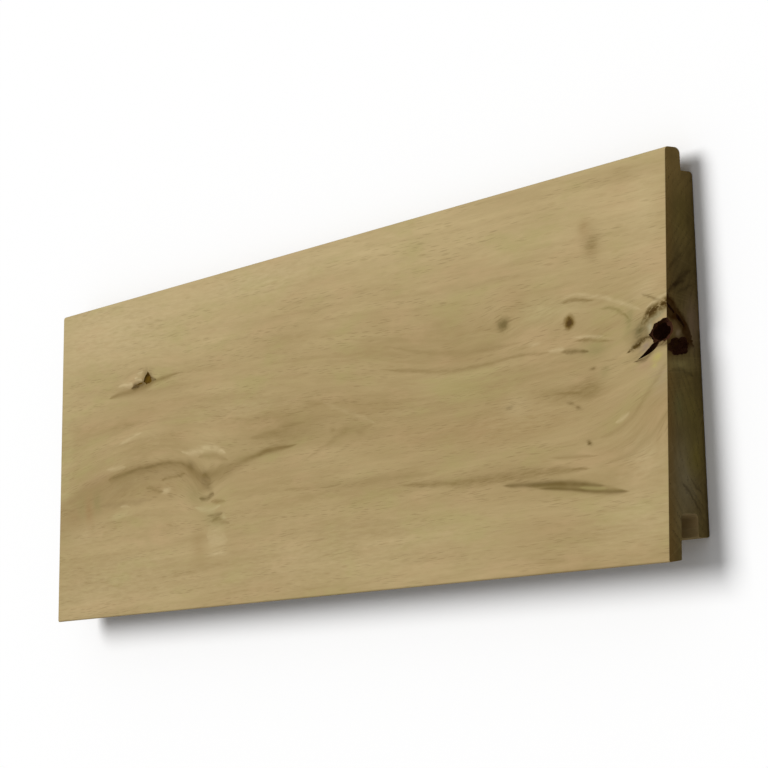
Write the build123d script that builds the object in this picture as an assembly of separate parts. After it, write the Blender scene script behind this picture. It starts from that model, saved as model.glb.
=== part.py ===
from build123d import *
import os

# Oak cladding board: one planed length of solid oak. Its face slopes, so that the lower edge is
# thicker than the upper one. The upper edge is cut to a tongue, with a shoulder behind it. The
# lower edge is cut to a groove that takes the tongue of the next board, between a long front lip
# that laps over the next board's face and a short back lip that stops above its shoulder.
#
# Millimetres. The board lies on its back, face up. X runs along it, Y runs across it from the
# lip towards the tongue, and Z runs from the back to the face. The origin is the middle of the
# board's outline, on the plane of its back.

# Overall sizes
LENGTH = 600.0
COVER_WIDTH = 175.0  # face that still shows once the next board is fitted
OVERLAP = 20.0  # reach of the front lip over the next board
THICK_EDGE = 25.0  # at the front lip
THIN_EDGE = 16.0  # at the tip of the tongue

# Tongue on the upper edge
TONGUE_HEIGHT = 11.0  # from the shoulder to the tip
SHOULDER_DEPTH = 7.0  # from the back to the tongue

# Room in the joint of two boards laid at the cover width
SIDE_CLEARANCE = 0.4  # on each side of the tongue
EXPANSION_GAP = 2.5  # beyond the tip of the tongue, and above the shoulder

# The underside of the front lip rises towards the back, so that water drips off its front edge
DRIP_UNDERCUT = 1.0

# Rounded corners of the section
TONGUE_FRONT_RADIUS = 2.0
TONGUE_BACK_RADIUS = 3.0
TONGUE_ROOT_RADIUS = 1.0
SHOULDER_RADIUS = 2.0
LIP_FRONT_RADIUS = 1.0
LIP_INNER_RADIUS = 0.5
GROOVE_ROOT_RADIUS = 2.0
BACK_LIP_INNER_RADIUS = 0.8
BACK_LIP_RADIUS = 1.0

# Two rounded corners take at most this share of the wall between them
ROUNDED_SHARE = 0.9

board_width = COVER_WIDTH + OVERLAP
lip_y = -board_width / 2
tip_y = board_width / 2
shoulder_y = tip_y - TONGUE_HEIGHT
face_slope = (THICK_EDGE - THIN_EDGE) / board_width

# The next board lies one cover width lower, so its tip and shoulder place the groove
groove_root_y = tip_y - COVER_WIDTH + EXPANSION_GAP
back_lip_y = shoulder_y - COVER_WIDTH + EXPANSION_GAP
back_lip_thickness = SHOULDER_DEPTH - SIDE_CLEARANCE
lip_inner_y = lip_y + DRIP_UNDERCUT


def face_height(y):
    return THICK_EDGE - face_slope * (y - lip_y)


def groove_front_height(y):
    return face_height(y + COVER_WIDTH) + SIDE_CLEARANCE


def radii_within(wall, first, second):
    share = min(1.0, ROUNDED_SHARE * wall / (first + second))
    return first * share, second * share


def section():
    groove_width = groove_front_height(groove_root_y) - back_lip_thickness
    lip_thickness = THICK_EDGE - groove_front_height(lip_y)

    back_lip, back_lip_inner = radii_within(back_lip_thickness, BACK_LIP_RADIUS, BACK_LIP_INNER_RADIUS)
    shoulder, tongue_root = radii_within(SHOULDER_DEPTH, SHOULDER_RADIUS, TONGUE_ROOT_RADIUS)
    tongue_back, tongue_front = radii_within(
        THIN_EDGE - SHOULDER_DEPTH, TONGUE_BACK_RADIUS, TONGUE_FRONT_RADIUS
    )
    lip_front, lip_inner = radii_within(lip_thickness, LIP_FRONT_RADIUS, LIP_INNER_RADIUS)
    groove_front, groove_back = radii_within(groove_width, GROOVE_ROOT_RADIUS, GROOVE_ROOT_RADIUS)

    # Each corner of the section, in order round it, with its radius
    corners = [
        ((back_lip_y, 0), back_lip),
        ((shoulder_y, 0), shoulder),
        ((shoulder_y, SHOULDER_DEPTH), tongue_root),
        ((tip_y, SHOULDER_DEPTH), tongue_back),
        ((tip_y, THIN_EDGE), tongue_front),
        ((lip_y, THICK_EDGE), lip_front),
        ((lip_inner_y, groove_front_height(lip_inner_y)), lip_inner),
        ((groove_root_y, groove_front_height(groove_root_y)), groove_front),
        ((groove_root_y, back_lip_thickness), groove_back),
        ((back_lip_y, back_lip_thickness), back_lip_inner),
    ]
    points = [point for point, radius in corners]
    radii = [radius for point, radius in corners]
    return make_face(FilletPolyline(*points, radius=radii, close=True))


def cladding_board():
    return extrude(Plane.YZ * section(), LENGTH / 2, both=True)


os.makedirs("parts", exist_ok=True)
export_step(cladding_board(), "parts/cladding_board.step")
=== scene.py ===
import bpy
import bmesh
import math
from mathutils import Matrix, Vector, noise


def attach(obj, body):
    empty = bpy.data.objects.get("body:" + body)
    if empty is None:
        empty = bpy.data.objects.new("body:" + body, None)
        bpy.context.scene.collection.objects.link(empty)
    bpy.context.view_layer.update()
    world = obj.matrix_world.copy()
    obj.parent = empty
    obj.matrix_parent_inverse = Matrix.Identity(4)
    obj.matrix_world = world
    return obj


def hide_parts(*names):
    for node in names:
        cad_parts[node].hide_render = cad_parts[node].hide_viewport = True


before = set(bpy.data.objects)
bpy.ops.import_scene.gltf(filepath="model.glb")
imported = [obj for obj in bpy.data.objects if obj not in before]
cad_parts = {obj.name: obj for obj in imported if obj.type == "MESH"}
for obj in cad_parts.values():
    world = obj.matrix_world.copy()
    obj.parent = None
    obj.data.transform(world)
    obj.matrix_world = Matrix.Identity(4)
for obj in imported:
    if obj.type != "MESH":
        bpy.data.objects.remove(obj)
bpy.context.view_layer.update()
mm = 0.001
boardNode = "cladding_board"
scene = bpy.context.scene


# Node helpers: a value may be a number, a colour, a vector or another node's output
def feed(tree, socket, value):
    if isinstance(value, bpy.types.NodeSocket):
        tree.links.new(value, socket)
    elif value is not None:
        socket.default_value = value


def addNode(tree, kind, sockets, **settings):
    made = tree.nodes.new("ShaderNode" + kind)
    for name, value in settings.items():
        setattr(made, name, value)
    for name, value in sockets.items():
        feed(tree, made.inputs[name], value)
    return made


def calc(tree, operation, *values):
    return addNode(tree, "Math", dict(enumerate(values)), operation=operation).outputs[0]


def vec(tree, operation, *values):
    made = addNode(tree, "VectorMath", dict(enumerate(values)), operation=operation)
    return made.outputs["Value" if operation in ("DOT_PRODUCT", "LENGTH") else "Vector"]


def scaled(tree, vector, sizes):  # a pattern this many mm long, wide and deep
    return vec(tree, "MULTIPLY", vector, [1 / size for size in sizes])


def cloud(tree, vector, detail, roughness):
    sockets = {"Vector": vector, "Scale": 1.0, "Detail": detail, "Roughness": roughness}
    return addNode(tree, "TexNoise", sockets).outputs[0]


def pattern(tree, vector, look):  # a cloud of a named size, detail and roughness
    return cloud(tree, scaled(tree, vector, look["size"]), look["detail"], look["roughness"])


def cells(tree, vector):
    sockets = {"Vector": vector, "Scale": 1.0, "Randomness": 1.0}
    return addNode(tree, "TexVoronoi", sockets)


def remap(tree, value, low, high, toLow=0.0, toHigh=1.0, smooth=True):
    kind = "SMOOTHSTEP" if smooth else "LINEAR"
    sockets = {0: value, 1: low, 2: high, 3: toLow, 4: toHigh}
    return addNode(tree, "MapRange", sockets, interpolation_type=kind).outputs[0]


def blend(tree, amount, under, over):
    return addNode(tree, "Mix", {0: amount, 6: under, 7: over}, data_type="RGBA").outputs[2]


def bell(tree, value):  # 1 at nought, fading either side
    return calc(tree, "EXPONENT", calc(tree, "MULTIPLY", calc(tree, "MULTIPLY", value, value), -1))


def tone(red, green, blue):  # 0 to 255 as a picture shows it
    parts = [part / 255 for part in (red, green, blue)]
    linear = [p / 12.92 if p <= 0.04045 else ((p + 0.055) / 1.055) ** 2.4 for p in parts]
    return (*linear, 1.0)


# How the wood grew: rings round a heart behind the board, bent where branches left the trunk
grainField = {
    "heart": (-6.0, -85.0),  # y and z, mm
    "climb": 0.022,  # how fast the rings climb along the board
    "ringWidth": 3.4,
    "ringWander": {"size": (400, 60, 14), "detail": 2, "roughness": 0.5, "reach": 2.2},  # in rings
    "slowWave": {"size": (240, 70, 70), "detail": 1, "roughness": 0.5, "reach": 7.0},  # mm
    "quickWave": {"size": (55, 16, 16), "detail": 2, "roughness": 0.5, "reach": 1.4},
}

grainBends = [
    {"at": (-195, -4), "reach": (75, 26), "lift": 15, "spread": 0.0},  # arch over the stain
    {"at": (-119, -26), "reach": (18, 15), "lift": -9, "spread": 0.0},
    {"at": (125, 16), "reach": (85, 24), "lift": -10, "spread": 0.0},  # sagging lines
    {"at": (-196, 45), "reach": (26, 11), "lift": 0, "spread": 0.75},
    {"at": (172.5, 30), "reach": (13, 8), "lift": 0, "spread": 0.6},
    {"at": (226.5, 23.5), "reach": (15, 9), "lift": 0, "spread": 0.65},
    {"at": (298, 9), "reach": (36, 21), "lift": 0, "spread": 0.9},
    {"at": (316, -18), "reach": (46, 24), "lift": 30, "spread": 0.0},  # sweep below the end knot
    {"at": (225, -55), "reach": (60, 9), "lift": 0, "spread": 0.5},
]


def offSpot(tree, place, spot):  # squared distance from a spot's middle, 1 at its rim
    x, y = spot["at"]
    turn = math.radians(spot.get("turn", 0))
    total = 0.0
    for reach, angle in zip(spot["reach"], (turn, turn + math.pi / 2)):
        across = (math.cos(angle) / reach, math.sin(angle) / reach, 0.0)
        off = vec(tree, "DOT_PRODUCT", place, across)
        off = calc(tree, "SUBTRACT", off, across[0] * x + across[1] * y)
        total = calc(tree, "MULTIPLY_ADD", off, off, total)
    return total


def bellSpot(tree, place, spot):
    return calc(tree, "POWER", math.exp(-1), offSpot(tree, place, spot))


def bentAcross(tree, place, across):
    bent = across
    for bend in grainBends:
        near = bellSpot(tree, place, bend)
        offset = calc(tree, "SUBTRACT", across, bend["at"][1])
        shift = calc(tree, "MULTIPLY_ADD", offset, bend["spread"], bend["lift"])
        bent = calc(tree, "SUBTRACT", bent, calc(tree, "MULTIPLY", near, shift))
    return bent


def grainGroup():
    tree = bpy.data.node_groups.new("oakGrain", "ShaderNodeTree")
    for name, kind in (("Place", "Vector"), ("Grain", "Vector"), ("Ring", "Float")):
        tree.interface.new_socket(name, in_out="OUTPUT", socket_type="NodeSocket" + kind)
    look = grainField
    heartY, heartZ = look["heart"]
    spot = addNode(tree, "TexCoord", {}).outputs["Object"]
    place = vec(tree, "MULTIPLY", spot, (1 / mm, 1 / mm, 1 / mm))
    split = addNode(tree, "SeparateXYZ", {0: place})
    along, across, height = split.outputs
    bent = bentAcross(tree, place, across)
    for wave in (look["slowWave"], look["quickWave"]):
        sway = calc(tree, "SUBTRACT", pattern(tree, place, wave), 0.5)
        bent = calc(tree, "MULTIPLY_ADD", sway, wave["reach"], bent)
    out = calc(tree, "SUBTRACT", height, heartZ)
    side = calc(tree, "SUBTRACT", bent, heartY)
    reach = addNode(tree, "CombineXYZ", {0: 0.0, 1: side, 2: out}).outputs[0]
    radius = vec(tree, "LENGTH", reach)
    radius = calc(tree, "MULTIPLY_ADD", along, look["climb"], radius)
    turn = calc(tree, "MULTIPLY", calc(tree, "ARCTAN2", side, out), -heartZ)
    grain = addNode(tree, "CombineXYZ", {0: along, 1: turn, 2: radius}).outputs[0]
    wander = calc(tree, "SUBTRACT", pattern(tree, grain, look["ringWander"]), 0.5)
    ring = calc(tree, "DIVIDE", radius, look["ringWidth"])
    ring = calc(tree, "FRACT", calc(tree, "MULTIPLY_ADD", wander, look["ringWander"]["reach"], ring))
    end = tree.nodes.new("NodeGroupOutput")
    for name, value in (("Place", place), ("Grain", grain), ("Ring", ring)):
        feed(tree, end.inputs[name], value)
    return tree


oakGrain = grainGroup()
print("grain field made,", len(grainBends), "bends")

# Stains, and one painted highlight among the face spots: a stroke's route is (along, across, half width) in
# mm, a spot is a soft ellipse
# "share" is how far the colour covers the wood, "under" widens a stroke's lower side, "flat" evens its middle
# "edge" is ragged unless it says calm or torn
brown = tone(118, 97, 50)
deepBrown = tone(86, 66, 14)
darkBrown = tone(64, 43, 3)
bark = tone(40, 20, 4)
knotBark = tone(58, 32, 0)
cream = tone(200, 181, 138)
moss = tone(136, 126, 78)
rust = tone(147, 121, 77)
rose = tone(172, 143, 108)

faceStrokes = [
    {"route": [(-300, -27, 4), (-282, -21, 3.4), (-262, -14.5, 2.8), (-232, -10.5, 2.4), (-195, -8, 2.2),
               (-168, -8, 2.2), (-146, -10.5, 2.2), (-130, -17, 2.4), (-112, -24, 0)],
     "under": 6.0, "colour": tone(149, 126, 84), "share": 0.7},  # brown wood under the arch
    {"route": [(-238, -12.8, 0), (-231, -12, 1.3), (-219, -10.8, 1.3), (-206, -9.8, 1.3), (-195, -9.2, 1.8),
               (-184, -9, 1.6), (-168, -8.7, 1.3), (-153, -9.8, 1.6), (-143, -12, 2), (-136, -14.4, 2),
               (-128, -18, 1.6), (-118, -22, 0)],
     "under": 2.4, "colour": brown, "share": 0.52, "edge": "calm"},  # the arch
    {"route": [(-234, -12.4, 0), (-228, -12, 0.9), (-214, -10.6, 0.8), (-198, -9.4, 1.2), (-182, -9, 1.1),
               (-166, -8.8, 0.8), (-152, -9.8, 1), (-142, -12, 1.3), (-136, -14.4, 1.2), (-130, -17, 0)],
     "colour": deepBrown, "share": 0.26},
    {"route": [(-124, -20, 0), (-112, -20, 3.8), (-98, -18.6, 4), (-84, -16.8, 3), (-66, -14.4, 2),
               (-48, -12.2, 1.6), (-32, -12.2, 1.1), (-16, -11.4, 0)],
     "under": 1.3, "colour": brown, "share": 0.68, "edge": "calm"},  # and its tail
    {"route": [(-64, -14.4, 0), (-50, -12.6, 1.5), (-40, -12.2, 1.6), (-24, -12.4, 0)],
     "colour": tone(104, 78, 32), "share": 0.32},
    {"route": [(-172, -19, 0), (-164, -18.2, 1.3), (-156, -18.2, 1.2), (-147, -17.6, 1.1), (-141, -17, 0)],
     "colour": brown, "share": 0.5},
    {"route": [(-150, -3, 0), (-134, -5.4, 2.4), (-119, -4.6, 2.6), (-106, -6, 2), (-94, -10, 0)],
     "colour": cream, "share": 0.52},  # pale crest over the fork
    {"route": [(-130, -9.6, 0), (-120, -8.8, 1.6), (-110, -9, 2), (-102, -11.6, 1.8), (-92, -14, 0)],
     "colour": brown, "share": 0.34},
    {"route": [(-250, -28, 0), (-232, -28.6, 2), (-212, -29, 1.9), (-194, -29.4, 1.5), (-178, -29, 0)],
     "colour": tone(138, 117, 78), "share": 0.42},  # lower edge of the brown wood
    {"route": [(-224, -30.8, 0), (-216, -31.2, 0.9), (-205, -32.2, 0)], "colour": cream, "share": 0.36},
    {"route": [(-192, -21.5, 0), (-182, -23, 1.4), (-173, -25, 1.2), (-166, -26, 0)],
     "colour": brown, "share": 0.5},
    {"route": [(-128, -33, 0), (-122, -33.8, 1.2), (-117, -34, 1.3), (-113, -32.4, 1.5), (-107, -31.4, 0)],
     "colour": deepBrown, "share": 0.62},  # wavy fibres below the fork
    {"route": [(-114, -36, 0), (-108, -36.6, 1.2), (-100, -37, 1.1), (-95, -37.6, 0)],
     "colour": brown, "share": 0.45},
    {"route": [(-133, -37.6, 0), (-123, -39.4, 1.8), (-112, -40.8, 2), (-100, -38.8, 0)],
     "colour": tone(186, 172, 126), "share": 0.55},
    {"route": [(-118, -44, 0), (-111, -44.6, 1.1), (-104, -44.4, 1.3), (-98, -43.6, 0)],
     "colour": deepBrown, "share": 0.4},
    {"route": [(-117, -55.6, 0), (-113, -56, 4.6), (-104, -57.4, 5), (-98, -59, 4), (-93, -60, 0)],
     "colour": cream, "share": 0.18, "flat": 1.8},  # pale patch below the fork
    {"route": [(-113, -48, 0), (-105, -47.2, 2.2), (-98, -49, 1.9), (-90, -51, 0)],
     "colour": brown, "share": 0.42},
    {"route": [(-240, 37.6, 0), (-226, 38.8, 1.8), (-212, 39.6, 2.6), (-201, 40.2, 3), (-191, 41, 2.6),
               (-180, 42.4, 1.6), (-166, 43.2, 1.3), (-146, 44, 0)],
     "colour": brown, "share": 0.72, "edge": "calm"},
    {"route": [(-211, 41, 0), (-206, 42, 1.5), (-200, 42.6, 1.6), (-195, 43.4, 2), (-190, 44.6, 2.4),
               (-185, 43.8, 1.7), (-178, 42.8, 0)],
     "colour": darkBrown, "share": 0.8, "flat": 1.2},  # foot of the chipped knot
    {"route": [(-228, 43.4, 0), (-220, 44.4, 1.3), (-212, 43.4, 1.5), (-207, 43.6, 0)],
     "colour": cream, "share": 0.62},
    {"route": [(-207, 47, 0), (-203.5, 46.4, 0.9), (-199, 45, 0.9), (-196, 44.4, 0)],
     "colour": cream, "share": 0.7},
    {"route": [(-203, 49, 0), (-198, 49.4, 1.2), (-194, 50.4, 0)], "colour": cream, "share": 0.5},
    {"route": [(186, -52.6, 0), (215, -55, 2), (240, -57.8, 2.6), (256, -60, 2), (270, -62, 0)],
     "colour": tone(124, 106, 56), "share": 0.55, "edge": "calm"},  # long eye
    {"route": [(169, -51.2, 0), (180, -51.8, 1.0), (200, -52.8, 1.6), (222, -54.4, 1.7), (240, -56.4, 1.4),
               (257, -58.4, 0)], "colour": deepBrown, "share": 0.68, "edge": "calm"},
    {"route": [(196, -54.6, 0), (214, -56.2, 0.9), (232, -58.4, 1.1), (250, -60.6, 1.3), (262, -61.8, 1.2),
               (274, -62.6, 0)], "colour": deepBrown, "share": 0.6, "edge": "calm"},
    {"route": [(230, -57, 0), (240, -58, 0.9), (249, -58.8, 1.0), (257, -59.6, 0)],
     "colour": tone(158, 145, 92), "share": 0.6, "edge": "calm"},
    {"route": [(76, -42.6, 0), (104, -44.8, 1.4), (130, -46.2, 2), (155, -47.2, 2.8), (182, -47.4, 3.2),
               (210, -48, 2.6), (246, -48.6, 0)], "colour": brown, "share": 0.58},  # faint line above it
    {"route": [(206, -41, 0), (230, -42.4, 1), (252, -43.6, 0)],
     "colour": brown, "share": 0.4, "edge": "calm"},
    {"route": [(-40, -36, 0), (20, -38, 2.2), (70, -39, 2.6), (120, -40, 0)], "colour": brown, "share": 0.25},
    {"route": [(52, 22, 0), (96, 15.5, 1.2), (125, 12, 1.6), (150, 11.2, 1.2), (184, 12.4, 0.9),
               (200, 11.4, 0.9), (214, 11, 0)], "colour": brown, "share": 0.42},  # sagging lines
    {"route": [(62, 33, 0), (95, 26, 1.1), (130, 20.6, 1.5), (165, 18.8, 1.4), (196, 19, 0)],
     "colour": brown, "share": 0.24},
    {"route": [(20, 42, 0), (60, 37, 1.4), (100, 31, 1.6), (132, 27, 0)], "colour": brown, "share": 0.18},
    {"route": [(206, 12, 0), (216, 11.4, 0.9), (227, 10.8, 0)], "colour": cream, "share": 0.5},
    {"route": [(218, 10, 0), (229, 9.2, 1.2), (237, 8, 1.1), (244, 7.6, 0)],
     "colour": deepBrown, "share": 0.6},
    {"route": [(222, 16.6, 0), (240, 15, 0.9), (262, 12, 0)], "colour": cream, "share": 0.4},
    {"route": [(226, 14, 0), (240, 13.2, 0.9), (252, 11.6, 0.8), (266, 10, 0)],
     "colour": brown, "share": 0.55},
    {"route": [(216, 33.6, 0), (227, 34.4, 0.9), (238, 33, 0.9), (250, 31.6, 0)],
     "colour": brown, "share": 0.6},  # line over the brown pin knot
    {"route": [(216, 36, 0), (228, 36.6, 0.9), (240, 35, 0.9), (252, 32.6, 1.1), (264, 28.6, 1.2),
               (274, 25, 1.2), (283, 22, 0)], "colour": cream, "share": 0.36},
    {"route": [(248, 27.4, 0), (257, 26.6, 0.9), (264, 24.4, 1.1), (269, 22, 1.0), (274, 18, 0)],
     "colour": tone(130, 115, 66), "share": 0.7},  # lines closing in on the end knot
    {"route": [(-40, 5.6, 0), (-28, 5.6, 1), (-14, 6.8, 1.1), (0, 8.2, 1), (10, 8.6, 0)],
     "colour": brown, "share": 0.2},  # tip of the arched figure, upper side
    {"route": [(4, 9, 0), (15, 6.2, 1.6), (30, 1.6, 1.8), (45, -3.4, 1.6), (62, -9, 0)],
     "colour": cream, "share": 0.14},
    {"route": [(-14, -22, 0), (12, -15, 2), (30, -9, 3), (44, -9.4, 2.2), (58, -8, 0)],
     "colour": brown, "share": 0.27},  # and lower side
    {"route": [(-72, -3.5, 0), (-50, -3.4, 2.4), (-30, -1, 2.2), (-8, 0, 0)], "colour": brown, "share": 0.36},
    {"route": [(-226, 8, 0), (-214, 9.5, 1.2), (-202, 12, 1), (-192, 13, 0)], "colour": cream, "share": 0.42},
    {"route": [(-242, -6, 0), (-228, -6.6, 1.7), (-212, -6.6, 0)], "colour": cream, "share": 0.34},
    {"route": [(260, -29, 0), (267, -27.4, 1.2), (274, -24.6, 0)], "colour": cream, "share": 0.5},
    {"route": [(246, -35, 0), (262, -33, 1.6), (274, -28, 1.8), (285, -18, 2), (296, -8, 1.8), (302, -3, 1)],
     "colour": brown, "share": 0.26},  # sweep below the end knot
    {"route": [(252, -48, 0), (270, -45, 1.8), (285, -39, 2), (302, -27, 1.8)],
     "colour": brown, "share": 0.26},
    {"route": [(279.6, 12, 0), (282, 15, 1.7), (285, 18, 2.6), (288, 20, 3), (292, 21.2, 2.8),
               (296, 22.4, 2.8), (302, 24.6, 3)],
     "colour": tone(98, 78, 30), "share": 0.95, "edge": "torn"},  # bark line round the end knot
    {"route": [(282, 15.4, 0), (285.5, 18.8, 1.5), (289, 20.4, 1.9), (293, 21.5, 1.3), (297, 22.6, 1.5),
               (302, 24.4, 2.2)], "colour": darkBrown, "share": 0.8, "edge": "torn"},
    {"route": [(269, 3, 0), (274, 4.6, 1.3), (280, 6.6, 2.1), (285, 7.9, 1.7), (290, 9, 0.8)],
     "colour": tone(76, 57, 14), "share": 0.9, "edge": "torn"},
    {"route": [(273, -2, 0), (279, -1.6, 0.9), (284, -0.6, 1.6), (288, 2.4, 2.2), (293, 5, 2.2),
               (302, 4.6, 1.2)], "colour": darkBrown, "share": 0.85},
    {"route": [(283, 21.6, 0), (290, 24.6, 1), (296, 26.6, 1.2), (302, 28.6, 1)],
     "colour": cream, "share": 0.62},
    {"route": [(280, 30.2, 0), (286, 28.2, 0.8), (292, 26, 0.8), (298, 24.4, 0)],
     "colour": deepBrown, "share": 0.45},
]

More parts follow.
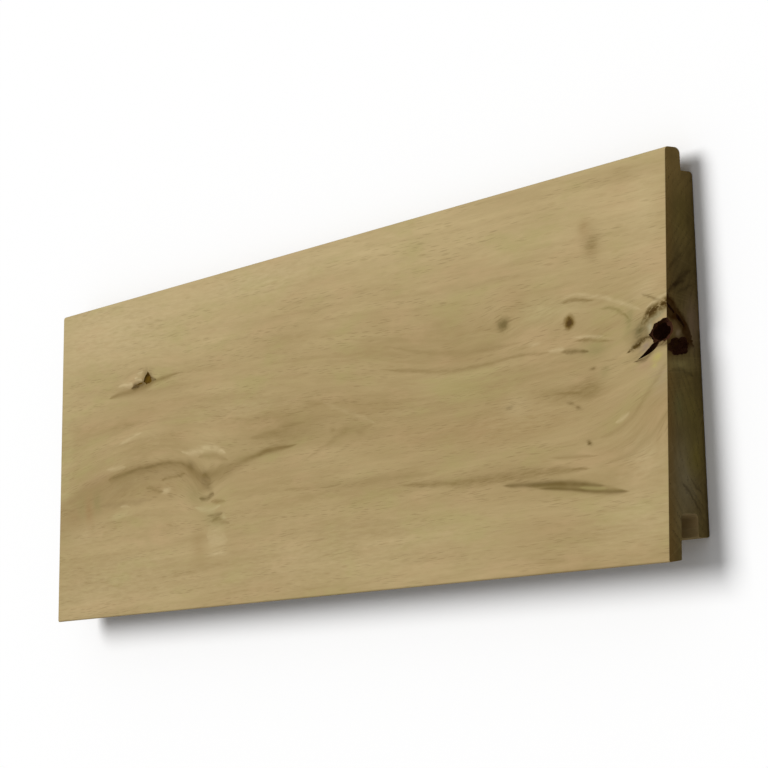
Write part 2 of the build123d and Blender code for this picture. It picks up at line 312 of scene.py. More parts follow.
faceSpots = [
    {"at": (175, -21), "reach": (100, 12), "colour": rust, "share": 0.55},  # broad areas
    {"at": (92, -17), "reach": (22, 6), "colour": rust, "share": 0.2},
    {"at": (-60, 87), "reach": (80, 9), "colour": cream, "share": 0.42},
    {"at": (-235, -78), "reach": (80, 17), "colour": cream, "share": 0.27},
    {"at": (-268, -44), "reach": (26, 8), "colour": cream, "share": 0.23},
    {"at": (284, 70), "reach": (14, 30), "colour": cream, "share": 0.23},
    {"at": (284, -46), "reach": (16, 12), "colour": cream, "share": 0.3},
    {"at": (-168, -24), "reach": (26, 6), "colour": rust, "share": 0.48},
    {"at": (-195, 27), "reach": (50, 7), "colour": rust, "share": 0.36},
    {"at": (-152, 8), "reach": (22, 6), "colour": rust, "share": 0.36},
    {"at": (-75, 15), "reach": (55, 5), "colour": cream, "share": 0.18},
    {"at": (205, -72), "reach": (36, 12), "colour": rust, "share": 0.2},
    {"at": (-90, -66), "reach": (50, 9), "colour": rust, "share": 0.26},
    {"at": (181, 47), "reach": (16, 4), "colour": rust, "share": 0.26},
    {"at": (60, 48), "reach": (20, 5), "colour": rust, "share": 0.26},
    {"at": (228, 0), "reach": (22, 4), "colour": rust, "share": 0.26},
    {"at": (170, -56), "reach": (26, 4), "colour": rust, "share": 0.28},
    {"at": (226, 31), "reach": (22, 4), "colour": cream, "share": 0.2},
    {"at": (-129, -19), "reach": (12, 6), "turn": -32, "colour": brown, "share": 0.7},
    {"at": (-136, -14.2), "reach": (4.6, 2.8), "turn": -35, "colour": deepBrown, "share": 0.84},
    {"at": (-120, -22.4), "reach": (5.8, 4.2), "turn": -24, "colour": tone(82, 63, 14), "share": 0.95},
    {"at": (-119, -21.8), "reach": (4.4, 2.8), "turn": -24, "colour": darkBrown, "share": 0.4},
    {"at": (-115, -26.4), "reach": (4, 2.8), "turn": -60, "colour": deepBrown, "share": 0.4},
    {"at": (-130, -31), "reach": (12, 6), "turn": -15, "colour": moss, "share": 0.46},
    {"at": (-110, -46), "reach": (12, 5), "turn": -10, "colour": moss, "share": 0.52},
    {"at": (-106, -37), "reach": (5, 2), "turn": -10, "colour": rust, "share": 0.5},
    {"at": (-97.4, -46.4), "reach": (2.2, 1.5), "colour": tone(186, 172, 126), "share": 0.6},
    {"at": (-105, -60), "reach": (8, 8), "turn": -30, "colour": cream, "share": 0.2},
    {"at": (-104, -66.6), "reach": (9, 1.6), "colour": cream, "share": 0.4},
    {"at": (-34, -6), "reach": (52, 7), "turn": 2, "colour": brown, "share": 0.34},
    {"at": (-30, -8.8), "reach": (15, 2.8), "colour": brown, "share": 0.16},
    {"at": (-60, -24), "reach": (40, 6), "turn": 2, "colour": rust, "share": 0.3},
    {"at": (-5, 9.6), "reach": (6, 1.3), "turn": -4, "colour": brown, "share": 0.2},
    {"at": (17, -8), "reach": (3, 1.7), "colour": brown, "share": 0.32},
    {"at": (28, -10), "reach": (4.6, 2), "turn": 18, "colour": brown, "share": 0.26},
    {"at": (44, -12), "reach": (4, 1.6), "turn": -10, "colour": brown, "share": 0.22},
    {"at": (158, 20), "reach": (15, 2.4), "turn": -2, "colour": brown, "share": 0.28},
    {"at": (140, 16), "reach": (26, 4), "turn": -3, "colour": rust, "share": 0.3},
    {"at": (-216, -18.6), "reach": (28, 7), "turn": 7, "colour": tone(138, 121, 82), "share": 0.5},
    {"at": (-166, -14), "reach": (14, 3.6), "colour": tone(138, 121, 82), "share": 0.34},
    {"at": (-212, -22), "reach": (40, 9), "turn": 6, "colour": rust, "share": 0.42},
    {"at": (-126, -60), "reach": (8, 11), "turn": 8, "colour": rust, "share": 0.46},
    {"at": (-165, -25.4), "reach": (5, 1.6), "turn": 3, "colour": cream, "share": 0.8},
    {"at": (-149, -18), "reach": (4, 1), "turn": -8, "colour": deepBrown, "share": 0.5},
    {"at": (-282, -33), "reach": (14, 5), "turn": -6, "colour": rust, "share": 0.5},
    {"at": (-271, -26), "reach": (6, 8), "turn": 15, "colour": tone(148, 138, 88), "share": 0.75},
    {"at": (-261, -29), "reach": (5, 9), "turn": 12, "colour": tone(148, 114, 72), "share": 0.6},
    {"at": (-251, -25), "reach": (6, 7), "turn": 10, "colour": tone(138, 127, 80), "share": 0.8},
    {"at": (-250, -11.5), "reach": (16, 3), "turn": 8, "colour": rose, "share": 0.5},
    {"at": (-222, -36), "reach": (12, 2.6), "turn": 6, "colour": tone(180, 168, 120), "share": 0.45},
    {"at": (-191, 45.2), "reach": (5.4, 4.6), "colour": tone(88, 66, 14), "share": 0.6},
    {"at": (-203, 41.4), "reach": (7, 2), "turn": 4, "colour": deepBrown, "share": 0.55},
    {"at": (184, 38), "reach": (9, 5), "colour": rust, "share": 0.4},
    {"at": (202, 32), "reach": (20, 6), "colour": tone(186, 172, 124), "share": 0.4},
    {"at": (198, 16.5), "reach": (4, 0.9), "colour": cream, "share": 0.5},
    {"at": (244, 60), "reach": (6, 7), "turn": 10, "colour": brown, "share": 0.62},
    {"at": (238, 69), "reach": (5, 4), "turn": 30, "colour": rust, "share": 0.55},
    {"at": (242, -36.5), "reach": (2.2, 1.2), "turn": -20, "colour": deepBrown, "share": 0.8},
    {"at": (233, -19), "reach": (2.4, 1), "turn": -15, "colour": deepBrown, "share": 0.6},
    {"at": (227, -16), "reach": (2.8, 0.9), "turn": -12, "colour": deepBrown, "share": 0.5},
    {"at": (245, -1), "reach": (2.2, 1.1), "colour": deepBrown, "share": 0.5},
    {"at": (254, -3), "reach": (4, 3), "colour": moss, "share": 0.45},
    {"at": (178, -12.5), "reach": (3.4, 0.9), "colour": deepBrown, "share": 0.5},
    {"at": (184, -12), "reach": (11, 6), "colour": cream, "share": 0.25},
    {"at": (228, -11), "reach": (22, 3.6), "turn": -3, "colour": brown, "share": 0.62},
    {"at": (243, -9), "reach": (9, 7), "colour": brown, "share": 0.44},
    {"at": (247, 8), "reach": (8, 4), "turn": -10, "colour": moss, "share": 0.55},
    {"at": (20, 8), "reach": (60, 16), "turn": -4, "colour": rust, "share": 0.12},
    {"at": (-235, 82), "reach": (90, 24), "turn": -3, "colour": cream, "share": 0.46},
    {"at": (-295, 0), "reach": (12, 90), "colour": tone(184, 170, 120), "share": 0.3},
    {"at": (285, -75), "reach": (36, 16), "colour": cream, "share": 0.24},
    {"at": (10, -76), "reach": (150, 16), "colour": cream, "share": 0.24},
    {"at": (280.4, 11.4), "reach": (6, 5.4), "turn": 30, "colour": tone(106, 94, 56), "share": 1.0},
    {"at": (288, 18), "reach": (9, 2.6), "turn": 22, "colour": tone(128, 114, 74), "share": 0.7},
    {"at": (272, 18), "reach": (3, 7), "turn": -8, "colour": moss, "share": 0.6},
    {"at": (294, 18.4), "reach": (7, 1.9), "turn": 14, "colour": tone(160, 152, 116), "share": 0.7},
    # painted highlight: a pale grey glint on the rounded rim beside the end knot's hole
    {"at": (286.6, 13), "reach": (1.3, 2.8), "turn": -20, "colour": tone(186, 180, 148), "share": 0.5},
    {"at": (284.5, 4.4), "reach": (4, 1.9), "turn": 25, "colour": tone(148, 128, 108), "share": 0.8},
    {"at": (292.6, -1.8), "reach": (3, 2.2), "turn": 15, "colour": tone(180, 170, 88), "share": 0.7},
    {"at": (291, -5.4), "reach": (2, 1.3), "turn": -10, "colour": tone(186, 176, 96), "share": 0.6},
    {"at": (284, -4), "reach": (7, 3), "turn": 20, "colour": rose, "share": 0.6},
    {"at": (296, -10), "reach": (9, 7), "turn": 40, "colour": tone(162, 140, 112), "share": 0.5},
    {"at": (285, 32), "reach": (9, 4), "turn": 10, "colour": cream, "share": 0.3},
]

# On the ends a stroke runs from the back to the face: (height, across, half width)
endStrokes = [
    {"route": [(3, 40, 0), (8, 37, 1.8), (13, 33, 2.2), (19, 28, 0)], "colour": bark, "share": 0.55},
    {"route": [(2, 33, 0), (8, 30.5, 1.2), (15, 27, 0)], "colour": bark, "share": 0.4},
    {"route": [(8, 48, 0), (13, 43.5, 1.8), (19, 38, 0)], "colour": bark, "share": 0.34},
    {"route": [(3, -76, 0), (7, -71, 1.2), (12, -64, 1.2), (16, -60, 0)], "colour": bark, "share": 0.48},
    {"route": [(3, -66, 0), (7, -62, 1), (12, -56, 0)], "colour": bark, "share": 0.38},
    {"route": [(6, 34.5, 0), (10, 33.5, 0.9), (14, 32.4, 0.9), (16.5, 31.6, 0)],
     "colour": bark, "share": 0.5},
    {"route": [(3, -12, 0), (9, -9, 1.4), (15, -8, 1.2), (20, -9, 0)], "colour": bark, "share": 0.32},
    {"route": [(3.5, 3, 0), (7, 4.8, 3), (10, 4.2, 4.6), (16, 3, 4.8), (21, 2.6, 4.4)],
     "colour": knotBark, "share": 0.9},  # bark round the knot, lower side
    {"route": [(4.5, 5, 0), (6.5, 8, 3), (8, 9.8, 4), (11, 14.6, 3.4), (14, 18, 3.4), (17, 20.6, 4.8),
               (21, 23, 5)], "colour": knotBark, "share": 1.0, "flat": 2.2},  # and upper side
]

endSpots = [
    {"at": (11, 90), "reach": (14, 18), "colour": tone(154, 127, 74), "share": 0.7},
    {"at": (8, 66), "reach": (6, 12), "colour": tone(130, 112, 54), "share": 0.5},
    {"at": (13, -58), "reach": (7, 20), "colour": tone(150, 137, 106), "share": 0.66},
    {"at": (7, -34), "reach": (7, 20), "colour": tone(128, 114, 56), "share": 0.6},
    {"at": (6.5, -50), "reach": (4, 7), "colour": tone(140, 124, 50), "share": 0.5},
    {"at": (15, -25), "reach": (3, 6), "colour": tone(120, 116, 70), "share": 0.5},
    {"at": (12, 35), "reach": (10, 12), "colour": tone(84, 68, 36), "share": 0.5},
    {"at": (4.5, 14), "reach": (4, 11), "colour": tone(146, 122, 98), "share": 0.7},
    {"at": (14.5, 11.5), "reach": (4, 4.6), "colour": tone(126, 100, 60), "share": 0.85},
    {"at": (13, 9.2), "reach": (1.6, 1.5), "colour": tone(172, 150, 116), "share": 0.85},
    {"at": (13, -5.4), "reach": (8, 3.4), "colour": tone(158, 142, 88), "share": 0.75},
]

pinKnots = [
    {"at": (172.6, 29.8), "reach": (5, 3.6), "share": 0.85,
     "core": tone(112, 95, 54), "rim": tone(132, 114, 72)},
    {"at": (226.5, 23.6), "reach": (3.9, 3.4), "share": 1.0,
     "core": tone(72, 48, 0), "rim": tone(108, 84, 26)},
]
knotLumps = 0.9  # how far a pin knot's edge wanders, in half widths
knotFade = {"rim": (0.9, 2.0), "core": (0.7, 1.4)}  # where each colour starts to fade and where it ends


def routeCurve(tree, along, points):
    made = addNode(tree, "FloatCurve", {"Value": along})
    made.mapping.use_clip = False
    made.mapping.extend = "HORIZONTAL"
    line = made.mapping.curves[0]
    line.points[0].location = points[0]
    line.points[1].location = points[-1]
    for spot in points[1:-1]:
        line.points.new(*spot)
    for spot in line.points:
        spot.handle_type = "AUTO_CLAMPED"
    made.mapping.update()
    return made.outputs[0]


def strokeMask(tree, along, across, stroke):
    route = stroke["route"]
    middle = routeCurve(tree, along, [(x, y) for x, y, half in route])
    half = calc(tree, "MAXIMUM", routeCurve(tree, along, [(x, half) for x, y, half in route]), 0.05)
    offset = calc(tree, "SUBTRACT", across, middle)
    if "under" in stroke:  # spreads further on the lower side
        below = calc(tree, "LESS_THAN", offset, 0.0)
        half = calc(tree, "MULTIPLY", half, calc(tree, "MULTIPLY_ADD", below, stroke["under"] - 1, 1.0))
    ends = remap(tree, half, 0.1, 0.7)  # nothing is left beyond a route's ends
    mask = calc(tree, "MULTIPLY", bell(tree, calc(tree, "DIVIDE", offset, half)), ends)
    if "flat" in stroke:  # even over most of its width
        mask = calc(tree, "MINIMUM", calc(tree, "MULTIPLY", mask, stroke["flat"]), 1.0)
    return mask


def wavering(tree, grain, size, reach):
    return calc(tree, "MULTIPLY_ADD", cloud(tree, scaled(tree, grain, size), 3, 0.6), reach, -reach / 2)


def paintMarks(tree, colour, along, across, grain, spots, strokes, ragged):
    calmAcross = calc(tree, "ADD", across, wavering(tree, grain, (30, 5, 5), 1.6))
    looseAcross = calc(tree, "ADD", across, wavering(tree, grain, (16, 4, 4), 2.4))
    looseAcross = calc(tree, "ADD", looseAcross, wavering(tree, grain, (5, 1.6, 1.6), 1.0))
    looseAlong = calc(tree, "ADD", along, wavering(tree, grain, (8, 3, 3), 4.0))
    place = addNode(tree, "CombineXYZ", {0: looseAlong, 1: looseAcross, 2: 0.0}).outputs[0]
    uneven = remap(tree, cloud(tree, scaled(tree, grain, (26, 7, 7)), 3, 0.6), 0.35, 0.65, 0.78, 1.06)
    torn = remap(tree, cloud(tree, scaled(tree, grain, (3.6, 1.6, 1.6)), 3, 0.65), 0.36, 0.6, 0.2, 1.2)
    edges = {
        "ragged": (looseAlong, looseAcross, ragged),
        "calm": (along, calmAcross, uneven),
        "torn": (looseAlong, looseAcross, torn),
    }
    for spot in spots:
        mask = calc(tree, "MULTIPLY", bellSpot(tree, place, spot), spot["share"])
        colour = blend(tree, calc(tree, "MULTIPLY", mask, ragged), colour, spot["colour"])
    for stroke in strokes:
        strokeAlong, strokeAcross, strength = edges[stroke.get("edge", "ragged")]
        mask = strokeMask(tree, strokeAlong, strokeAcross, stroke)
        mask = calc(tree, "MULTIPLY", calc(tree, "MULTIPLY", mask, stroke["share"]), strength)
        colour = blend(tree, mask, colour, stroke["colour"])
    return colour


def pinKnotted(tree, colour, place):
    lumps = cloud(tree, scaled(tree, place, (4, 3, 4)), 3, 0.6)
    for knot in pinKnots:
        distance = calc(tree, "SQRT", offSpot(tree, place, knot))
        distance = calc(tree, "MULTIPLY_ADD", lumps, knotLumps, distance)
        for part, fade in knotFade.items():
            mask = calc(tree, "MULTIPLY", remap(tree, distance, *fade, 1.0, 0.0), knot["share"])
            colour = blend(tree, mask, colour, knot[part])
    return colour


# Planed faces and edges
planedOak = {
    "pale": tone(192, 171, 126),
    "dark": tone(142, 119, 74),
    "greenish": tone(164, 153, 98),
    "pinkish": tone(184, 156, 115),
    "pore": tone(112, 90, 52),
    "ray": tone(144, 119, 74),
    "shade": 0.43,
    "paintedTopLight": 0.24,  # painted light: how much paler the wood is made towards the tongue, standing in for brighter light there
    "paintedTopLightFrom": (20, 90),  # mm across, where the painted light starts and ends
    "bands": {"size": (240, 20, 20), "detail": 2, "roughness": 0.5, "share": 0.78},
    "mottle": {"size": (60, 11, 11), "detail": 3, "roughness": 0.55, "share": 0.38},
    "streaks": {"size": (80, 2.6, 2.6), "detail": 3, "roughness": 0.5, "share": 0.42},
    "fibres": {"size": (10, 1.1, 1.1), "detail": 3, "roughness": 0.6, "share": 0.24},
    "hue": {"size": (55, 13, 13), "detail": 4, "roughness": 0.6, "share": 0.44},
    "poreCrowds": {"size": (70, 5, 5), "detail": 3, "roughness": 0.6},
    "poreSize": (14, 0.5, 0.5),  # mm
    "poreShare": 0.38,
    "raySize": (24, 2.6, 110),
    "rayShare": 0.14,
    "ringShare": 0.05,
    "stainsFrom": (7, 14),  # mm above the back, which stays clean
    "relief": 0.06,  # mm
    "roughness": (0.62, 0.78),
    "specular": 0.06,
}


def startMaterial(name):
    material = bpy.data.materials.new(name)
    material.use_nodes = True
    material.node_tree.nodes.clear()
    return material, material.node_tree


def useGrain(tree):
    made = addNode(tree, "Group", {}, node_tree=oakGrain)
    return made.outputs["Place"], made.outputs["Grain"], made.outputs["Ring"]


def knotHalf(tree, along):  # 0 on the far half of the board, 1 on the half with the end knot
    return remap(tree, along, -20, 20)


def finishMaterial(tree, colour, roughness, height, depth, specular):
    bump = addNode(tree, "Bump", {"Strength": 1.0, "Distance": depth * mm, "Height": height})
    sockets = {"Base Color": colour, "Roughness": roughness, "Normal": bump.outputs[0],
               "Specular IOR Level": specular}
    shader = addNode(tree, "BsdfPrincipled", sockets)
    end = addNode(tree, "OutputMaterial", {})
    tree.links.new(shader.outputs[0], end.inputs["Surface"])


def planedMaterial():
    look = planedOak
    material, tree = startMaterial("oakPlaned")
    place, grain, ring = useGrain(tree)
    along, across, height = addNode(tree, "SeparateXYZ", {0: place}).outputs
    bands, mottle, streaks, fibres = [
        pattern(tree, grain, look[name]) for name in ("bands", "mottle", "streaks", "fibres")]
    hue = pattern(tree, grain, look["hue"])
    early = remap(tree, ring, 0.0, 0.6, 1.0, 0.0)
    dashes = cells(tree, scaled(tree, grain, look["poreSize"])).outputs["Distance"]
    crowd = remap(tree, pattern(tree, grain, look["poreCrowds"]), 0.4, 0.65)
    pores = calc(tree, "MULTIPLY", remap(tree, dashes, 0.12, 0.42, 1.0, 0.0), crowd)
    spindles = cells(tree, scaled(tree, grain, look["raySize"])).outputs["Distance"]
    rays = remap(tree, spindles, 0.08, 0.2, 1.0, 0.0)
    # painted light: the tone rises towards the tongue, standing in for brighter light there
    shade = remap(tree, across, *look["paintedTopLightFrom"], look["shade"], look["shade"] + look["paintedTopLight"])
    for part, share in ((bands, look["bands"]["share"]), (mottle, look["mottle"]["share"]),
                        (streaks, look["streaks"]["share"]), (fibres, look["fibres"]["share"]),
                        (early, -look["ringShare"])):
        shade = calc(tree, "ADD", shade, calc(tree, "MULTIPLY_ADD", part, share, -share / 2))
    colour = blend(tree, shade, look["dark"], look["pale"])
    hueShare = look["hue"]["share"]
    colour = blend(tree, remap(tree, hue, 0.5, 0.72, 0.0, hueShare), colour, look["greenish"])
    colour = blend(tree, remap(tree, hue, 0.28, 0.5, hueShare, 0.0), colour, look["pinkish"])
    clean = colour
    ragged = remap(tree, fibres, 0.3, 0.7, 0.45, 1.25, smooth=False)
    colour = paintMarks(tree, colour, along, across, grain, faceSpots, faceStrokes, ragged)
    colour = pinKnotted(tree, colour, place)
    colour = blend(tree, remap(tree, height, *look["stainsFrom"]), clean, colour)
    colour = blend(tree, calc(tree, "MULTIPLY", pores, look["poreShare"]), colour, look["pore"])
    colour = blend(tree, calc(tree, "MULTIPLY", rays, look["rayShare"]), colour, look["ray"])
    roughness = remap(tree, streaks, 0.2, 0.8, *look["roughness"])
    relief = calc(tree, "MULTIPLY_ADD", pores, -0.6, fibres)
    finishMaterial(tree, colour, roughness, relief, look["relief"], look["specular"])
    return material


# Sawn ends
sawnEnd = {
    "pale": tone(134, 114, 66),
    "dark": tone(90, 75, 40),
    "red": tone(134, 103, 52),
    "ray": tone(156, 136, 88),
    "pore": tone(58, 46, 24),
    "patches": {"size": (30, 15, 7), "detail": 4, "roughness": 0.62, "share": 1.9},
    "sawMarks": {"size": (40, 20, 0.8), "detail": 2, "roughness": 0.6, "share": 0.4},
    "rays": {"size": (30, 0.9, 40), "detail": 2, "roughness": 0.6, "share": 0.2},
    "poreSize": (15, 0.6, 0.6),  # mm
    "poreShare": 0.4,
    "faceSlope": -0.046,  # how the face falls towards the tongue
    "faceHeight": 20.5,  # mm at the middle of the board
    "redDepth": 7.0,  # mm below the face
    "relief": 0.2,
    "roughness": (0.7, 0.85),
    "specular": 0.06,
}


def endMaterial():
    look = sawnEnd
    material, tree = startMaterial("oakEndGrain")
    place, grain, ring = useGrain(tree)
    along, across, height = addNode(tree, "SeparateXYZ", {0: place}).outputs
    patches = pattern(tree, place, look["patches"])
    early = calc(tree, "MULTIPLY", remap(tree, ring, 0.0, 0.6, 1.0, 0.0), remap(tree, patches, 0.35, 0.6))
    dots = cells(tree, scaled(tree, grain, look["poreSize"])).outputs["Distance"]
    pores = calc(tree, "MULTIPLY", remap(tree, dots, 0.2, 0.5, 1.0, 0.0), early)
    rays = remap(tree, pattern(tree, grain, look["rays"]), 0.5, 0.75)
    saw = pattern(tree, place, look["sawMarks"])
    shade = calc(tree, "MULTIPLY_ADD", saw, look["sawMarks"]["share"], -0.6)
    shade = calc(tree, "MULTIPLY_ADD", patches, look["patches"]["share"], shade)
    shade = calc(tree, "MULTIPLY_ADD", early, -0.2, shade)
    colour = blend(tree, shade, look["dark"], look["pale"])
    face = calc(tree, "MULTIPLY_ADD", across, look["faceSlope"], look["faceHeight"])
    depth = calc(tree, "SUBTRACT", face, height)
    colour = blend(tree, remap(tree, depth, 0.0, look["redDepth"], 0.6, 0.0), colour, look["red"])
    # painted shade: the end darkened over its lowest 2.5 mm along the back arris, in the pore colour
    colour = blend(tree, remap(tree, height, 0.0, 2.5, 0.5, 0.0), colour, look["pore"])
    colour = blend(tree, calc(tree, "MULTIPLY", rays, look["rays"]["share"]), colour, look["ray"])
    clean = colour
    ragged = remap(tree, patches, 0.3, 0.65, 0.6, 1.15, smooth=False)
    colour = paintMarks(tree, colour, height, across, grain, endSpots, endStrokes, ragged)
    colour = blend(tree, knotHalf(tree, along), clean, colour)
    colour = blend(tree, calc(tree, "MULTIPLY", pores, look["poreShare"]), colour, look["pore"])
    roughness = remap(tree, saw, 0.2, 0.8, *look["roughness"])
    relief = calc(tree, "MULTIPLY_ADD", pores, -0.7, saw)
    finishMaterial(tree, colour, roughness, relief, look["relief"], look["specular"])
    return material


# Inside the knot holes and cracks
hollowOak = {
    "chip": tone(94, 70, 8),
    "pale": tone(74, 51, 10),
    "dark": tone(54, 29, 16),
    "lumps": {"size": (5, 3, 3), "detail": 4, "roughness": 0.65},
    "relief": 0.6,  # mm
    "roughness": (0.75, 0.9),
    "specular": 0.04,
}


def hollowMaterial():
    look = hollowOak
    material, tree = startMaterial("oakHollow")
    place = useGrain(tree)[0]
    along = addNode(tree, "SeparateXYZ", {0: place}).outputs[0]
    lumps = pattern(tree, place, look["lumps"])
    colour = blend(tree, remap(tree, lumps, 0.5, 0.8), look["dark"], look["pale"])
    chip = blend(tree, remap(tree, lumps, 0.35, 0.65), look["pale"], look["chip"])
    colour = blend(tree, knotHalf(tree, along), chip, colour)
    roughness = remap(tree, lumps, 0.2, 0.8, *look["roughness"])
    finishMaterial(tree, colour, roughness, lumps, look["relief"], look["specular"])
    return material


# The board
boardShape = {
    "mergeReach": 0.01,  # mm
    "flatAngle": 0.5,  # degrees
    "arris": 0.35,  # mm eased off the sawn corners
    "sharpAngle": 35.0,
    "endTurn": 0.9,  # least part of a normal along the board on an end
    "faceTurn": 0.99,  # and upwards on the face
    "faceAbove": 15.0,  # mm, lower than any of the face
}

# Holes and cracks are cut by lumpy ellipsoids; each rim sinks a little into the face around it
hollows = [
    {"at": (296, 11, 20.6), "half": (8.8, 5.8, 4.2), "turn": ("Z", 12), "ragged": 0.24,
     "sink": 0.7},  # end knot
    {"at": (293, 10.5, 17), "half": (5, 4.4, 7), "turn": ("Z", 20), "ragged": 0.2, "sink": 0.0},
    {"at": (286.4, 2.2, 20.8), "half": (9.6, 1.4, 3.6), "turn": ("Z", 27), "ragged": 0.24, "sink": 0.4,
     "taper": 0.75, "bend": 0.9},  # its crack
    {"at": (280, 6.5, 20.9), "half": (5.4, 0.45, 1.0), "turn": ("Z", 15), "ragged": 0.2, "sink": 0.25,
     "taper": 0.4},
    {"at": (301, 3.2, 13.2), "half": (5, 4.1, 6.6), "turn": ("X", 12), "ragged": 0.3,
     "sink": 0.0},  # on the end
    {"at": (301, 20.6, 17), "half": (2.2, 3.6, 0.8), "turn": ("X", 45), "ragged": 0.3, "sink": 0.0},
    {"at": (301, 15.4, 11.8), "half": (2.4, 4.4, 1.0), "turn": ("X", 42), "ragged": 0.3, "sink": 0.0},
    {"at": (-190.4, 45.8, 18.4), "half": (3.9, 4.2, 1.5), "turn": ("Z", 90), "ragged": 0.22, "sink": 0.4,
     "taper": -0.85},  # chipped knot
    {"at": (-198.8, 43, 18.6), "half": (5.6, 0.75, 0.6), "turn": ("Z", 5), "ragged": 0.3, "sink": 0.3,
     "taper": 0.4},
]

reliefPatches = [
    {"low": (258, -16), "high": (299.2, 38), "step": 0.7, "margin": 5.0},
    {"low": (-240, 30), "high": (-160, 58), "step": 0.8, "margin": 5.0},
]
rimReach = 2.4  # mm over which a rim sinks
tornGrain = 0.08  # mm of torn fibres beside a hollow
tornSize = (5, 0.9)
hollowLumps = [  # from large to small
    {"scale": 1.6, "share": 1.0, "shift": (7.3, 0, 0)},
    {"scale": 4.1, "share": 0.5, "shift": (0, 5.1, 0)},
    {"scale": 9.3, "share": 0.25, "shift": (0, 0, 3.7)},
]


def hollowOffset(hollow, x, y):  # place within a hollow's outline on the face, 1 at its rim
    turn = math.radians(hollow["turn"][1])
    dx = x - hollow["at"][0]
    dy = y - hollow["at"][1]
    u = (dx * math.cos(turn) + dy * math.sin(turn)) / hollow["half"][0]
    v = (dy * math.cos(turn) - dx * math.sin(turn)) / hollow["half"][1]
    v = (v - hollow.get("bend", 0) * u * u) / max(0.3, 1 + hollow.get("taper", 0) * u)
    return math.hypot(u, v)


def sunk(x, y):
    depth = 0.0
    for hollow in hollows:
        if hollow["sink"] > 0:
            gap = max(0.0, hollowOffset(hollow, x, y) - 1) * hollow["half"][1]
            near = math.exp(-(gap / rimReach) ** 2)
            torn = tornGrain * (0.5 + 0.5 * noise.noise((x / tornSize[0], y / tornSize[1], 3.0)))
            depth = max(depth, near * (hollow["sink"] + torn))
    return depth


def boardFaceIn(shape, low, high):
    inside = []
    for face in shape.faces:
        spot = face.calc_center_median() / mm
        upward = face.normal.z > boardShape["faceTurn"] and spot.z > boardShape["faceAbove"]
        if upward and low[0] < spot.x < high[0] and low[1] < spot.y < high[1]:
            inside.append(face)
    return inside


def cutFace(shape, faces, spot, normal):
    parts = list({part for face in faces for part in (*face.verts, *face.edges)})
    bmesh.ops.bisect_plane(shape, geom=faces + parts, plane_co=Vector(spot) * mm, plane_no=normal)


def splitPatch(shape, patch, axis):
    faces = boardFaceIn(shape, patch["low"], patch["high"])
    edges = {edge for face in faces for edge in face.edges}
    chosen = []
    for edge in edges:
        run = edge.verts[1].co - edge.verts[0].co
        if abs(run[axis]) > abs(run[1 - axis]):
            chosen.append(edge)
    cuts = round((patch["high"][axis] - patch["low"][axis]) / patch["step"])
    bmesh.ops.subdivide_edges(shape, edges=chosen, cuts=cuts, use_grid_fill=True)


def sinkPatch(shape, patch):
    low, high = patch["low"], patch["high"]
    far = 1000  # mm, past the board's edges
    for x in (low[0], high[0]):
        cutFace(shape, boardFaceIn(shape, (-far, -far), (far, far)), (x, 0, 0), (1, 0, 0))
    for y in (low[1], high[1]):
        cutFace(shape, boardFaceIn(shape, (low[0], -far), (high[0], far)), (0, y, 0), (0, 1, 0))
    splitPatch(shape, patch, 0)
    splitPatch(shape, patch, 1)
    verts = {vert for face in boardFaceIn(shape, low, high) for vert in face.verts}
    for vert in verts:
        x, y, z = vert.co / mm
        edge = min(x - low[0], high[0] - x, y - low[1], high[1] - y) / patch["margin"]
        fade = min(1.0, max(0.0, edge))
        vert.co.z -= sunk(x, y) * fade * mm


def addHollow(shape, hollow, seed):
    verts = bmesh.ops.create_icosphere(shape, subdivisions=4, radius=1.0)["verts"]
    for vert in verts:
        lump = 0.0
        for layer in hollowLumps:
            shift = Vector([seed * part for part in layer["shift"]])
            lump += layer["share"] * noise.noise(vert.co * layer["scale"] + shift)
        vert.co *= 1 + hollow["ragged"] * lump
        vert.co.y *= 1 + hollow.get("taper", 0) * vert.co.x
        vert.co.y += hollow.get("bend", 0) * vert.co.x ** 2
    bmesh.ops.scale(shape, verts=verts, vec=Vector(hollow["half"]) * mm)
    axis, angle = hollow["turn"]
    turn = Matrix.Rotation(math.radians(angle), 3, axis)
    bmesh.ops.rotate(shape, verts=verts, matrix=turn, cent=(0, 0, 0))
    bmesh.ops.translate(shape, verts=verts, vec=Vector(hollow["at"]) * mm)


def hollowCutter(material):
    shape = bmesh.new()
    for seed, hollow in enumerate(hollows):
        addHollow(shape, hollow, seed + 1)
    mesh = bpy.data.meshes.new("hollowCutter")
    shape.to_mesh(mesh)
    shape.free()
    mesh.materials.append(material)
    cutter = bpy.data.objects.new("hollowCutter", mesh)
    scene.collection.objects.link(cutter)
    return cutter


def carve(board, cutter):
    cut = board.modifiers.new("knotHollows", "BOOLEAN")
    cut.operation = "DIFFERENCE"
    cut.solver = "EXACT"
    cut.use_self = True
    cut.material_mode = "TRANSFER"
    cut.object = cutter
    view = bpy.context.evaluated_depsgraph_get()
    carved = bpy.data.meshes.new_from_object(board.evaluated_get(view), depsgraph=view)
    board.modifiers.remove(cut)
    board.data = carved
    bpy.data.objects.remove(cutter)


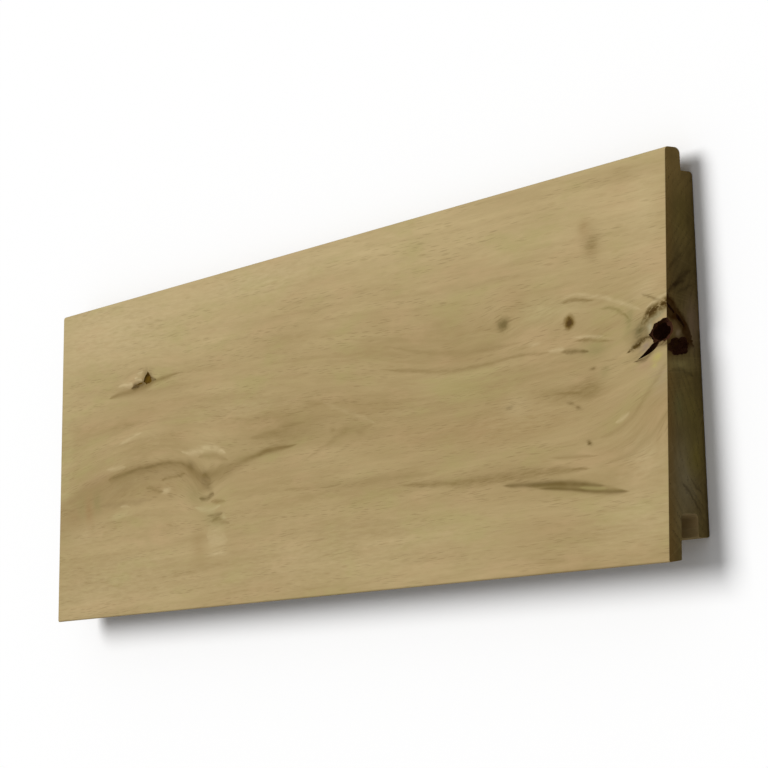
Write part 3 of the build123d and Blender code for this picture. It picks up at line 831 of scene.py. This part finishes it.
def boardMesh():
    look = boardShape
    shape = bmesh.new()
    shape.from_mesh(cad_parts[boardNode].data)
    bmesh.ops.remove_doubles(shape, verts=shape.verts, dist=look["mergeReach"] * mm)
    bmesh.ops.dissolve_limit(shape, angle_limit=math.radians(look["flatAngle"]),
                             verts=shape.verts, edges=shape.edges)
    ends = [face for face in shape.faces if abs(face.normal.x) > look["endTurn"]]
    for face in ends:
        face.material_index = 1
    corners = {edge for face in ends for edge in face.edges}
    bmesh.ops.bevel(shape, geom=list(corners), offset=look["arris"] * mm, affect="EDGES",
                    segments=2, profile=0.5, material=-1, clamp_overlap=True)
    bmesh.ops.recalc_face_normals(shape, faces=shape.faces)
    for patch in reliefPatches:
        sinkPatch(shape, patch)
    mesh = bpy.data.meshes.new("oakBoard")
    shape.to_mesh(mesh)
    shape.free()
    return mesh


def smoothBoard(board):  # smooth within a surface, sharp at corners and at the rims of hollows
    shape = bmesh.new()
    shape.from_mesh(board.data)
    sharpAngle = math.radians(boardShape["sharpAngle"])
    for face in shape.faces:
        face.smooth = True
    for edge in shape.edges:
        sides = {face.material_index for face in edge.link_faces}
        rim = len(sides) > 1 and 2 in sides
        edge.smooth = not rim and edge.calc_face_angle(0.0) < sharpAngle
    shape.to_mesh(board.data)
    shape.free()
    even = board.modifiers.new("evenShading", "WEIGHTED_NORMAL")
    even.mode = "FACE_AREA"
    even.weight = 100
    even.keep_sharp = True


def makeBoard():
    mesh = boardMesh()
    inside = hollowMaterial()
    for material in (planedMaterial(), endMaterial(), inside):
        mesh.materials.append(material)
    board = bpy.data.objects.new("oakBoard", mesh)
    scene.collection.objects.link(board)
    carve(board, hollowCutter(inside))
    smoothBoard(board)
    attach(board, "root")
    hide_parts(boardNode)
    return board


board = makeBoard()
print("board made,", len(board.data.polygons), "faces,", [m.name for m in board.data.materials])

# Floor, light and camera
floorLook = {
    "size": 12.0,  # metres
    "drop": 0.0002,
    "seen": tone(255, 255, 255),
    "bounce": (0.34, 0.34, 0.34, 1.0),
}
lightLook = {
    "sunFrom": (-0.5, 0.3, 0.82),
    "sunShare": 0.68,  # of the light on a level surface; the sky gives the rest
    "sunAngle": 36.0,
}
cameraLook = {
    "place": (1.30184, -0.16087, 0.86541),
    "aim": (0.0608, 0.0128, 0.0162),
    "up": (0.00709, 0.99927, -0.03763),
    "lens": 133.0,
}


def seenRays(tree):
    path = addNode(tree, "LightPath", {})
    seen = calc(tree, "MAXIMUM", path.outputs["Is Camera Ray"], path.outputs["Is Glossy Ray"])
    return calc(tree, "MAXIMUM", seen, path.outputs["Is Transmission Ray"])


def makeFloor():
    shape = bmesh.new()
    bmesh.ops.create_grid(shape, x_segments=1, y_segments=1, size=floorLook["size"] / 2)
    bmesh.ops.translate(shape, verts=shape.verts, vec=(0, 0, -floorLook["drop"]))
    mesh = bpy.data.meshes.new("floor")
    shape.to_mesh(mesh)
    shape.free()
    material, tree = startMaterial("paleFloor")
    seen = addNode(tree, "BsdfDiffuse", {"Color": floorLook["seen"]})
    bounce = addNode(tree, "BsdfDiffuse", {"Color": floorLook["bounce"]})
    mixed = addNode(tree, "MixShader", {0: seenRays(tree), 1: bounce.outputs[0], 2: seen.outputs[0]})
    end = addNode(tree, "OutputMaterial", {})
    tree.links.new(mixed.outputs[0], end.inputs["Surface"])
    mesh.materials.append(material)
    floor = bpy.data.objects.new("floor", mesh)
    scene.collection.objects.link(floor)


def makeLight():
    look = lightLook
    direction = Vector(look["sunFrom"]).normalized()
    lamp = bpy.data.lights.new("softSun", "SUN")
    lamp.energy = math.pi * look["sunShare"] / direction.z
    lamp.angle = math.radians(look["sunAngle"])
    sun = bpy.data.objects.new("softSun", lamp)
    sun.rotation_euler = direction.to_track_quat("Z", "Y").to_euler()
    scene.collection.objects.link(sun)
    world = bpy.data.worlds.new("studio")
    world.use_nodes = True
    tree = world.node_tree
    tree.nodes.clear()
    level = remap(tree, seenRays(tree), 0.0, 1.0, 1 - look["sunShare"], 1.0, smooth=False)
    sky = addNode(tree, "Background", {"Color": (1, 1, 1, 1), "Strength": level})
    end = addNode(tree, "OutputWorld", {})
    tree.links.new(sky.outputs[0], end.inputs["Surface"])
    scene.world = world


def makeCamera():
    look = cameraLook
    place = Vector(look["place"])
    back = (place - Vector(look["aim"])).normalized()
    right = Vector(look["up"]).cross(back).normalized()
    up = back.cross(right)
    lens = bpy.data.cameras.new("photoView")
    lens.lens = look["lens"]
    camera = bpy.data.objects.new("photoView", lens)
    turn = Matrix((right, up, back)).transposed()
    camera.matrix_world = Matrix.Translation(place) @ turn.to_4x4()
    scene.collection.objects.link(camera)
    scene.camera = camera


makeFloor()
makeLight()
makeCamera()
scene.view_settings.view_transform = "Standard"
print("floor, light and camera made")
